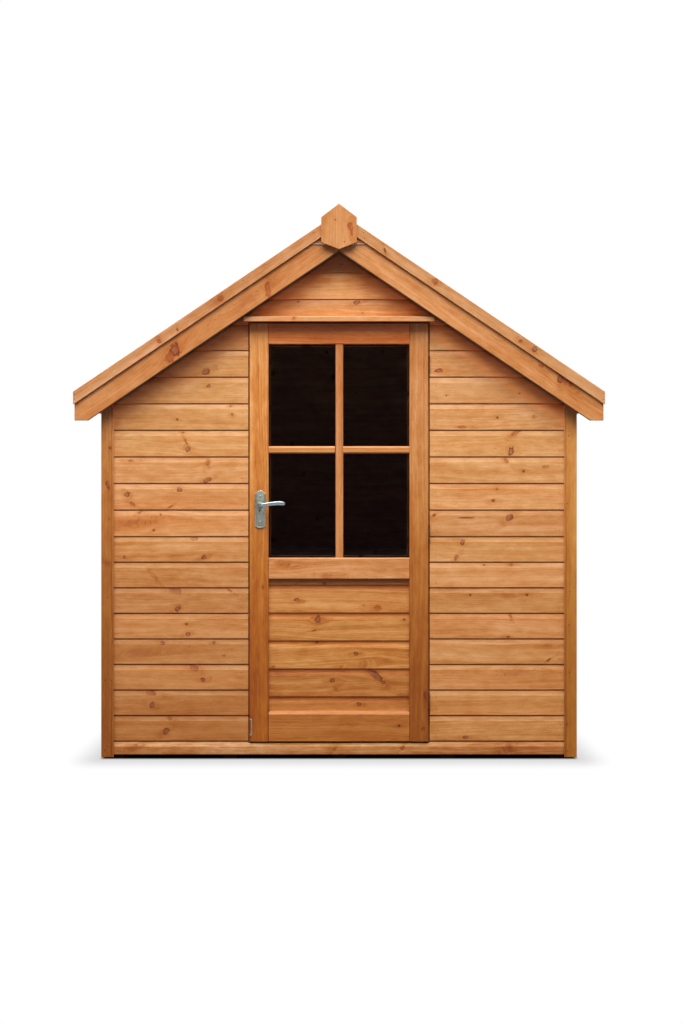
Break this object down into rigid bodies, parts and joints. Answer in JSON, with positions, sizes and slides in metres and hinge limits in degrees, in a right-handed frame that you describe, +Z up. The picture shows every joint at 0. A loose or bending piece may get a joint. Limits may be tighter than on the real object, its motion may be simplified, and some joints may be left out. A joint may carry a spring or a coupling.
{
  "type": "wooden garden shed",
  "caption": "Gabled timber garden shed with overlapped board walls, felted roof, barge boards with finials, and a half-glazed hinged front door with a lever handle.",
  "frame": {"origin": "on the ground under the middle of the shed", "axes": "+X to the right seen from the front, +Y from the front to the back, +Z up"},
  "size_m": [2.34, 2.26, 2.4415],
  "materials": {
    "stained_timber": "satin",
    "door_timber": "satin",
    "plain_timber": "matte",
    "roofing_felt": "matte",
    "galvanised_steel": "satin",
    "satin_metal": "satin",
    "glass": "gloss"
  },
  "bodies": {
    "shed": {"floor_bearers": "plain_timber", "floor_deck": "plain_timber", "door_threshold": "stained_timber", "front_base_board": "stained_timber", "front_wall_left": "stained_timber", "front_wall_right": "stained_timber", "front_gable": "stained_timber", "back_wall": "stained_timber", "left_wall": "stained_timber", "right_wall": "stained_timber", "front_wall_studs": "plain_timber", "front_wall_rails": "plain_timber", "back_wall_studs": "plain_timber", "back_wall_rails": "plain_timber", "side_wall_studs": "plain_timber", "side_wall_rails": "plain_timber", "gable_rafters": "plain_timber", "corner_trims_gables": "stained_timber", "corner_trims_sides": "stained_timber", "roof_deck_left": "plain_timber", "roof_deck_right": "plain_timber", "roof_purlins": "plain_timber", "roof_felt_left": "roofing_felt", "roof_felt_right": "roofing_felt", "ridge_felt_cap": "roofing_felt", "eave_boards": "stained_timber", "front_barge_boards": "stained_timber", "front_capping_strips": "stained_timber", "front_finial": "stained_timber", "front_apex_tie": "galvanised_steel", "back_barge_boards": "stained_timber", "back_capping_strips": "stained_timber", "back_finial": "stained_timber", "door_drip_board": "stained_timber", "door_stops": "stained_timber", "frame_hinge_leaves": "galvanised_steel"},
    "door": {"door_stile_left": "door_timber", "door_stile_right": "door_timber", "door_top_rail": "door_timber", "door_mid_rail": "door_timber", "door_bottom_rail": "door_timber", "door_bar_vertical": "door_timber", "door_bars_horizontal": "door_timber", "door_glass": "glass", "door_glazing_beads": "door_timber", "door_panel": "door_timber", "handle_plates": "satin_metal", "door_hinge_leaves": "galvanised_steel", "door_edge_clip": "galvanised_steel", "lock_faceplate": "satin_metal"},
    "lever": {"lever_outside": "satin_metal", "lever_inside": "satin_metal"}
  },
  "joints": [
    {"name": "door_hinge", "type": "hinge", "parent": "shed", "child": "door", "pos_m": [0.398, -1.0415, 0.9965], "axis": [0, 0, 1], "range_deg": [0, 120]},
    {"name": "lever_turn", "type": "hinge", "parent": "door", "child": "lever", "pos_m": [-0.348, -1.021, 1.115], "axis": [0, 1, 0], "range_deg": [0, 45], "stiffness_Nm_per_rad": 1, "springref_deg": -28.65}
  ]
}
